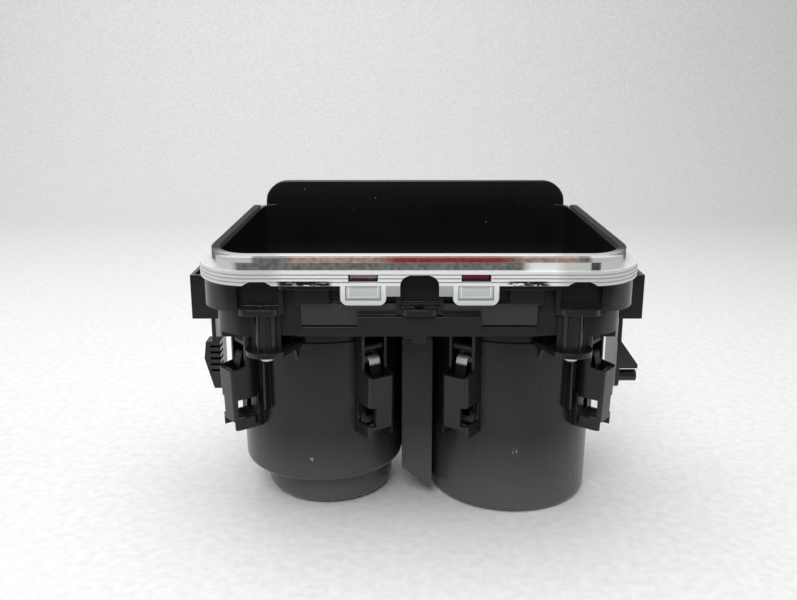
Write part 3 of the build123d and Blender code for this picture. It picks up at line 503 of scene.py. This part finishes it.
def zoned(stops):
    """A ramp down the guide, its stops given as drop below the rim in millimetres and a colour."""
    ramp = guide_tree.nodes.new("ShaderNodeValToRGB")
    elements = ramp.color_ramp.elements
    elements[0].position = stops[0][0] / zone_depth
    elements[1].position = stops[-1][0] / zone_depth
    for drop, _ in stops[1:-1]:
        elements.new(drop / zone_depth)
    for element, (_, colour) in zip(elements, stops):
        element.color = (*colour, 1)
    guide_link(guide_zone.outputs["Result"], ramp.inputs["Fac"])
    return ramp.outputs["Color"]


def guide_math(operation, first, second):
    """One sum on the guide's numbers, each of them an output or a constant."""
    node = guide_tree.nodes.new("ShaderNodeMath")
    node.operation = operation
    for socket, value in zip(node.inputs, (first, second)):
        if isinstance(value, float):
            socket.default_value = value
        else:
            guide_link(value, socket)
    return node.outputs["Value"]


def guide_mix(factor, under, over, blend="MIX"):
    """One colour laid over another by a factor, each of the three an output or a constant."""
    node = guide_tree.nodes.new("ShaderNodeMix")
    node.data_type = "RGBA"
    node.blend_type = blend
    for name, value in (("Factor", factor), ("A", under), ("B", over)):
        if isinstance(value, (float, tuple)):
            node.inputs[name].default_value = value
        else:
            guide_link(value, node.inputs[name])
    return node.outputs["Result"]


# The pale body colour is partly a milky finish and partly painted light, standing in for light the clear
# acrylic carries and reflects
guide_pale = (0.95, 0.96, 0.96)
guide_dark = (0.1, 0.1, 0.1)
groove_shadow = (0.2, 0.2, 0.2)
# Dark lines at the grooves are painted shade
groove_tops = (7.4, 9.2, 11.0)
groove_shade = ((0.0, guide_pale), (0.15, groove_shadow), (0.45, groove_shadow), (0.6, guide_pale))
groove_stops = [(top + below, colour) for top in groove_tops for below, colour in groove_shade]
guide_lined = zoned(((0.1, guide_pale), *groove_stops, (13.0, guide_pale), (24.0, (0.85, 0.88, 0.88))))
guide_across = guide_math("ABSOLUTE", guide_axes.outputs["X"], 0.0)
guide_corner = guide_tree.nodes.new("ShaderNodeMapRange")
guide_corner.inputs["From Min"].default_value = 0.064
guide_corner.inputs["From Max"].default_value = 0.07
guide_link(guide_across, guide_corner.inputs["Value"])
guide_grooved = guide_mix(guide_corner.outputs["Result"], guide_lined, (0.69, 0.7, 0.69, 1))
guide_clear = zoned((
    (0.1, (0.3,) * 3), (2.2, (0.2,) * 3), (6.0, (0.1,) * 3), (13.0, (0.1,) * 3), (24.0, (0.3,) * 3),
))

# Latch tabs: thin lines of painted shade along border and panel, by how far a point lies inside the nearer
# tab's outline
latch_middle = 0.0267
latch_half = 0.011
latch_foot = 0.121
latch_depth = 6
latch_across = guide_math("SUBTRACT", guide_across, latch_middle)
latch_across = guide_math("ABSOLUTE", latch_across, 0.0)
latch_in = guide_math("SUBTRACT", latch_half, latch_across)
latch_up = guide_math("SUBTRACT", guide_axes.outputs["Z"], latch_foot)
latch_in = guide_math("MINIMUM", latch_in, latch_up)
latch_inset = guide_tree.nodes.new("ShaderNodeMapRange")
latch_inset.inputs["From Max"].default_value = latch_depth / 1000
guide_link(latch_in, latch_inset.inputs["Value"])
latch_shade_lines = guide_tree.nodes.new("ShaderNodeValToRGB")
latch_stops = (
    (0.2, 0.5), (0.5, 1.0), (2.4, 1.0), (2.6, 0.35), (2.8, 0.35),
    (3.0, 0.8), (3.6, 0.8), (3.8, 1.0), (4.3, 1.0), (4.5, 0.72),
)
latch_shade_lines.color_ramp.elements[0].position = latch_stops[0][0] / latch_depth
latch_shade_lines.color_ramp.elements[1].position = latch_stops[-1][0] / latch_depth
for inset, _ in latch_stops[1:-1]:
    latch_shade_lines.color_ramp.elements.new(inset / latch_depth)
for element, (_, level) in zip(latch_shade_lines.color_ramp.elements, latch_stops):
    element.color = (level, level, level, 1)
guide_link(latch_inset.outputs["Result"], latch_shade_lines.inputs["Fac"])
latch_zone = zoned(((12.8, (0.0,) * 3), (13.0, (1.0,) * 3)))
guide_body = guide_mix(latch_zone, guide_grooved, latch_shade_lines.outputs["Color"], "MULTIPLY")
guide_frost = guide_tree.nodes.new("ShaderNodeTexNoise")
guide_frost.inputs["Scale"].default_value = 420.0
guide_frost.inputs["Detail"].default_value = 4.0
guide_frost.inputs["Roughness"].default_value = 0.65
guide_link(guide_place.outputs["Object"], guide_frost.inputs["Vector"])
guide_mottle = guide_tree.nodes.new("ShaderNodeValToRGB")
guide_mottle.color_ramp.elements[0].position = 0.36
guide_mottle.color_ramp.elements[0].color = (0.4, 0.4, 0.39, 1)
guide_mottle.color_ramp.elements[1].position = 0.64
guide_mottle.color_ramp.elements[1].color = (1, 1, 1, 1)
guide_link(guide_frost.outputs["Fac"], guide_mottle.inputs["Fac"])

# Stripes along the front, laid over the cloudy body one after the other
front_half = 100
frost_cover = 0.85
guide_span = guide_tree.nodes.new("ShaderNodeMapRange")
guide_span.inputs["From Min"].default_value = -front_half / 1000
guide_span.inputs["From Max"].default_value = front_half / 1000
guide_link(guide_axes.outputs["X"], guide_span.inputs["Value"])


def along_front(under, front, top, bottom, stops, broken=1.0):
    """Lays a stripe over a colour, in front of a depth and between two drops in millimetres.
    Its stops are X in millimetres, a colour and how far it covers; a pattern can break the cover."""
    ramp = guide_tree.nodes.new("ShaderNodeValToRGB")
    elements = ramp.color_ramp.elements
    elements[0].position = stops[0][0] / (2 * front_half) + 0.5
    elements[1].position = stops[-1][0] / (2 * front_half) + 0.5
    for x, _, _ in stops[1:-1]:
        elements.new(x / (2 * front_half) + 0.5)
    for element, (_, colour, cover) in zip(elements, stops):
        element.color = (*colour, cover)
    guide_link(guide_span.outputs["Result"], ramp.inputs["Fac"])
    start = 1.0 if top == 0 else 0.0
    between = zoned((
        (top, (start,) * 3), (top + 0.2, (1.0,) * 3), (bottom - 0.2, (1.0,) * 3), (bottom, (0.0,) * 3),
    ))
    ahead = guide_math("LESS_THAN", guide_axes.outputs["Y"], front)
    inside = guide_math("MULTIPLY", between, ahead)
    cover = guide_math("MULTIPLY", inside, ramp.outputs["Alpha"])
    cover = guide_math("MULTIPLY", cover, broken)
    cloudy = guide_mix(frost_cover, ramp.outputs["Color"], guide_mottle.outputs["Color"], "MULTIPLY")
    return guide_mix(cover, under, cloudy)


guide_grey = (0.24, 0.24, 0.23)
guide_peach_sheen = (0.56, 0.4, 0.33)
guide_red = (0.34, 0.045, 0.035)
# From x +54 to +80 mm the strip is left out, so the pale body there is a painted reflection
guide_banded = along_front(guide_body, wall_front, 2.1, 6.0, (
    (-90, guide_pale, 0), (-86, guide_grey, 1), (48, guide_grey, 1), (54, guide_pale, 0),
    (80, guide_pale, 0), (81, guide_dark, 1), (85, guide_dark, 1), (86, guide_pale, 0),
))
# Towards both ends the bar's red turns peach: red with a painted sheen
guide_striped = along_front(guide_banded, edge_front, 0, 2.3, (
    (-80, guide_grey, 0), (-78, guide_grey, 1), (-64, guide_grey, 1), (-58, guide_peach_sheen, 1),
    (-22, guide_peach_sheen, 1), (-12, guide_red, 1), (38, guide_red, 1), (52, guide_peach_sheen, 1),
    (74, guide_peach_sheen, 1), (76, guide_grey, 1), (80, guide_grey, 1), (82, guide_pale, 0),
))

# Broken dark patches between arches and latches, where the black shelf would show through; the pale breaks
# between them are painted glints
guide_flat = guide_tree.nodes.new("ShaderNodeMapping")
guide_flat.inputs["Scale"].default_value = (0.35, 1.0, 1.3)
guide_link(guide_place.outputs["Object"], guide_flat.inputs["Vector"])
guide_glint_breaks = guide_tree.nodes.new("ShaderNodeTexNoise")
guide_glint_breaks.inputs["Scale"].default_value = 620.0
guide_glint_breaks.inputs["Detail"].default_value = 2.0
guide_link(guide_flat.outputs["Vector"], guide_glint_breaks.inputs["Vector"])
shelf_between_glints = guide_tree.nodes.new("ShaderNodeMapRange")
shelf_between_glints.inputs["From Min"].default_value = 0.42
shelf_between_glints.inputs["From Max"].default_value = 0.5
guide_link(guide_glint_breaks.outputs["Fac"], shelf_between_glints.inputs["Value"])
shelf_black = (0.02, 0.02, 0.02)
guide_broken = along_front(guide_striped, edge_front, 10.6, 13.0, (
    (-68, shelf_black, 0), (-66, shelf_black, 1), (-43, shelf_black, 1), (-41, shelf_black, 0),
    (41, shelf_black, 0), (43, shelf_black, 1), (60, shelf_black, 1), (62, shelf_black, 0),
), shelf_between_glints.outputs["Result"])

# Side lips: behind the front corners the top few millimetres fade to a dark, matt finish
lip_roughness = 0.9
guide_arm = guide_tree.nodes.new("ShaderNodeMapRange")
guide_arm.inputs["From Min"].default_value = -0.061
guide_arm.inputs["From Max"].default_value = -0.045
guide_arm.inputs["To Max"].default_value = 0.92
guide_link(guide_axes.outputs["Y"], guide_arm.inputs["Value"])
guide_lip = zoned(((4.0, (1.0,) * 3), (6.0, (0.0,) * 3)))
guide_lip = guide_math("MULTIPLY", guide_arm.outputs["Result"], guide_lip)
guide_link(guide_mix(guide_lip, guide_broken, (0.03, 0.03, 0.03, 1)), guide_shader.inputs["Base Color"])
guide_link(guide_math("MAXIMUM", guide_clear, guide_lip), guide_shader.inputs["Transmission Weight"])

guide_gloss = guide_tree.nodes.new("ShaderNodeMapRange")
guide_gloss.inputs["To Min"].default_value = 0.02
guide_gloss.inputs["To Max"].default_value = 0.08
guide_link(guide_frost.outputs["Fac"], guide_gloss.inputs["Value"])
lip_matt = guide_math("MULTIPLY", guide_lip, lip_roughness)
guide_link(guide_math("MAXIMUM", guide_gloss.outputs["Result"], lip_matt), guide_shader.inputs["Roughness"])
guide_bump = guide_tree.nodes.new("ShaderNodeBump")
guide_bump.inputs["Strength"].default_value = 0.2
guide_bump.inputs["Distance"].default_value = 0.0003
guide_link(guide_frost.outputs["Fac"], guide_bump.inputs["Height"])
guide_link(guide_bump.outputs["Normal"], guide_shader.inputs["Normal"])
dress("light_guide", clear_acrylic)


# Floor and backdrop
# A pale sheet with a faint pebbled grain, laid flat and curved up behind, not part of the object.
def sweep_sheet(half_width, front, back, bend, top, count):
    """A straight floor from front to back, a quarter circle of radius bend, then a wall up to top."""
    flat = np.linspace(front, back, count)
    turn = np.linspace(0, pi / 2, count)
    rise = np.linspace(bend, top, count)
    y = np.concatenate([flat, back + bend * np.sin(turn), np.full(count, back + bend)])
    z = np.concatenate([np.zeros(count), bend - bend * np.cos(turn), rise])
    x = np.linspace(-half_width, half_width, count)
    grid = np.stack([np.repeat(x[:, None], len(y), 1), np.tile(y, (count, 1)), np.tile(z, (count, 1))], -1)
    rows, columns = grid.shape[:2]
    index = np.arange(rows * columns).reshape(rows, columns)
    faces = np.stack([index[:-1, :-1], index[1:, :-1], index[1:, 1:], index[:-1, 1:]], -1).reshape(-1, 4)
    return grid.reshape(-1, 3), faces


floor_points, floor_faces = sweep_sheet(half_width=2.2, front=-0.28, back=0.9, bend=0.5, top=2.2, count=30)
floor_mesh = bpy.data.meshes.new("floor")
floor_mesh.from_pydata(floor_points.tolist(), [], floor_faces.tolist())
floor_mesh.shade_smooth()
floor = bpy.data.objects.new("floor", floor_mesh)
bpy.context.scene.collection.objects.link(floor)
pale_sheet = bpy.data.materials.new("pale_sheet")
pale_sheet.use_nodes = True
sheet_tree = pale_sheet.node_tree
sheet_shader = sheet_tree.nodes["Principled BSDF"]
sheet_place = sheet_tree.nodes.new("ShaderNodeTexCoord")
sheet_grain = sheet_tree.nodes.new("ShaderNodeTexNoise")
sheet_grain.inputs["Scale"].default_value = 190.0
sheet_grain.inputs["Detail"].default_value = 5.0
sheet_tree.links.new(sheet_place.outputs["Object"], sheet_grain.inputs["Vector"])
sheet_tone = sheet_tree.nodes.new("ShaderNodeValToRGB")
sheet_tone.color_ramp.elements[0].position = 0.3
sheet_tone.color_ramp.elements[0].color = (0.72, 0.73, 0.71, 1)
sheet_tone.color_ramp.elements[1].position = 0.7
sheet_tone.color_ramp.elements[1].color = (0.82, 0.83, 0.81, 1)
sheet_tree.links.new(sheet_grain.outputs["Fac"], sheet_tone.inputs["Fac"])
sheet_tree.links.new(sheet_tone.outputs["Color"], sheet_shader.inputs["Base Color"])
sheet_shader.inputs["Roughness"].default_value = 0.6
floor_mesh.materials.append(pale_sheet)


# Light
# A large soft box overhead, one above the front, a weaker one at each side, one on the backdrop.
# An even, dim room fills the shadows.
def soft_box(name, place, target, size, watts):
    """A square area lamp at a place, turned to face a target."""
    lamp = bpy.data.lights.new(name, "AREA")
    lamp.size = size
    lamp.energy = watts
    box = bpy.data.objects.new(name, lamp)
    bpy.context.scene.collection.objects.link(box)
    box.location = place
    aim = np.array(target) - np.array(place)
    tilt = np.arctan2(np.hypot(aim[0], aim[1]), -aim[2])
    box.rotation_euler = (tilt, 0, np.arctan2(aim[1], aim[0]) - pi / 2)


soft_box("overhead", (0.0, 0.0, 1.0), (0, 0, 0.05), size=1.0, watts=5.5)
soft_box("front_top", (-0.2, -0.95, 0.95), (0, 0, 0.1), size=0.6, watts=8.2)
soft_box("left_side", (-1.0, -0.1, 0.5), (0, 0, 0.08), size=0.7, watts=2.1)
soft_box("right_side", (1.0, -0.1, 0.5), (0, 0, 0.08), size=0.7, watts=2.2)
soft_box("backdrop", (-0.5, 0.5, 1.3), (-0.2, 1.4, 0.6), size=1.6, watts=9.0)
world = bpy.data.worlds.new("pale_room")
world.use_nodes = True
room = world.node_tree.nodes["Background"]
room.inputs["Color"].default_value = (0.95, 0.97, 0.98, 1)
room.inputs["Strength"].default_value = 0.24
bpy.context.scene.world = world
bpy.context.scene.view_settings.view_transform = "Standard"

# Camera
# As in the photograph: in front, a little above the rim and looking down about fifteen degrees.
lens = bpy.data.cameras.new("camera")
photo_focal = 870
photo_width = 797
lens.sensor_width = 36.0
lens.lens = photo_focal / photo_width * lens.sensor_width
lens.clip_start = 0.02
camera = bpy.data.objects.new("camera", lens)
camera.location = (-0.010, -0.4634, 0.2297)
camera.rotation_euler = (radians(75.1), 0, 0)
bpy.context.scene.collection.objects.link(camera)
bpy.context.scene.camera = camera
